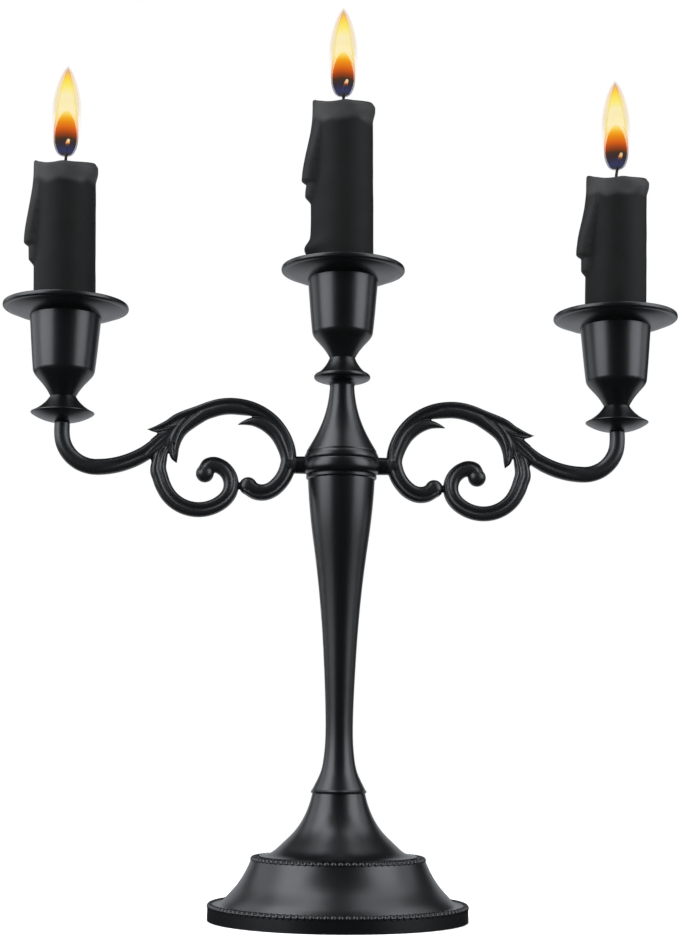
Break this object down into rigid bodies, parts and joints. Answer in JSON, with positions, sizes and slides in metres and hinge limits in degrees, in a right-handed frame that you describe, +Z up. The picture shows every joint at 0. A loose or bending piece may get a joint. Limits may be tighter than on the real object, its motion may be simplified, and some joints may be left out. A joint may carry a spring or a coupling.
{
  "type": "candelabrum",
  "caption": "Table candelabrum: stepped round base with beaded edges, trumpet stem, scroll arms, cups with drip pans, candles that lift out.",
  "frame": {"origin": "centre of the base's underside", "axes": "+Z up along the column, +X along the right-hand arm, +Y away from the viewer"},
  "size_m": [0.272, 0.1, 0.3483],
  "materials": {
    "black_paint": "satin black enamel on cast and spun metal",
    "steel": "zinc-plated fasteners",
    "felt": "black felt on a board disc",
    "wax": "black candle wax",
    "wick": "charred braided cotton"
  },
  "bodies": {
    "stand": {"base_foot": "black_paint", "base_cone": "black_paint", "lower_bead_ring": "black_paint", "upper_bead_ring": "black_paint", "felt_pad": "felt", "base_washer": "steel", "base_nut": "steel", "tie_rod": "steel", "stem": "black_paint", "neck": "black_paint", "centre_knop": "black_paint", "cup_centre": "black_paint", "cup_screw_centre": "steel", "drip_pan_centre": "black_paint"},
    "branch": {"arm_ring": "black_paint", "arm_stud_left": "steel", "scroll_arm_left": "black_paint", "knop_left": "black_paint", "cup_left": "black_paint", "cup_screw_left": "steel", "drip_pan_left": "black_paint", "arm_stud_right": "steel", "scroll_arm_right": "black_paint", "knop_right": "black_paint", "cup_right": "black_paint", "cup_screw_right": "steel", "drip_pan_right": "black_paint"},
    "centre_candle": {"candle_centre": "wax", "wick_centre": "wick"},
    "left_candle": {"candle_left": "wax", "wick_left": "wick"},
    "right_candle": {"candle_right": "wax", "wick_right": "wick"}
  },
  "joints": [
    {"name": "branch_turn", "type": "hinge", "parent": "stand", "child": "branch", "pos_m": [0, 0, 0.177], "axis": [0, 0, 1], "continuous": true},
    {"name": "centre_candle_lift", "type": "slide", "parent": "stand", "child": "centre_candle", "axis": [0, 0, 1], "range_m": [0, 0.022]},
    {"name": "left_candle_lift", "type": "slide", "parent": "branch", "child": "left_candle", "axis": [0, 0, 1], "range_m": [0, 0.022]},
    {"name": "right_candle_lift", "type": "slide", "parent": "branch", "child": "right_candle", "axis": [0, 0, 1], "range_m": [0, 0.022]}
  ]
}
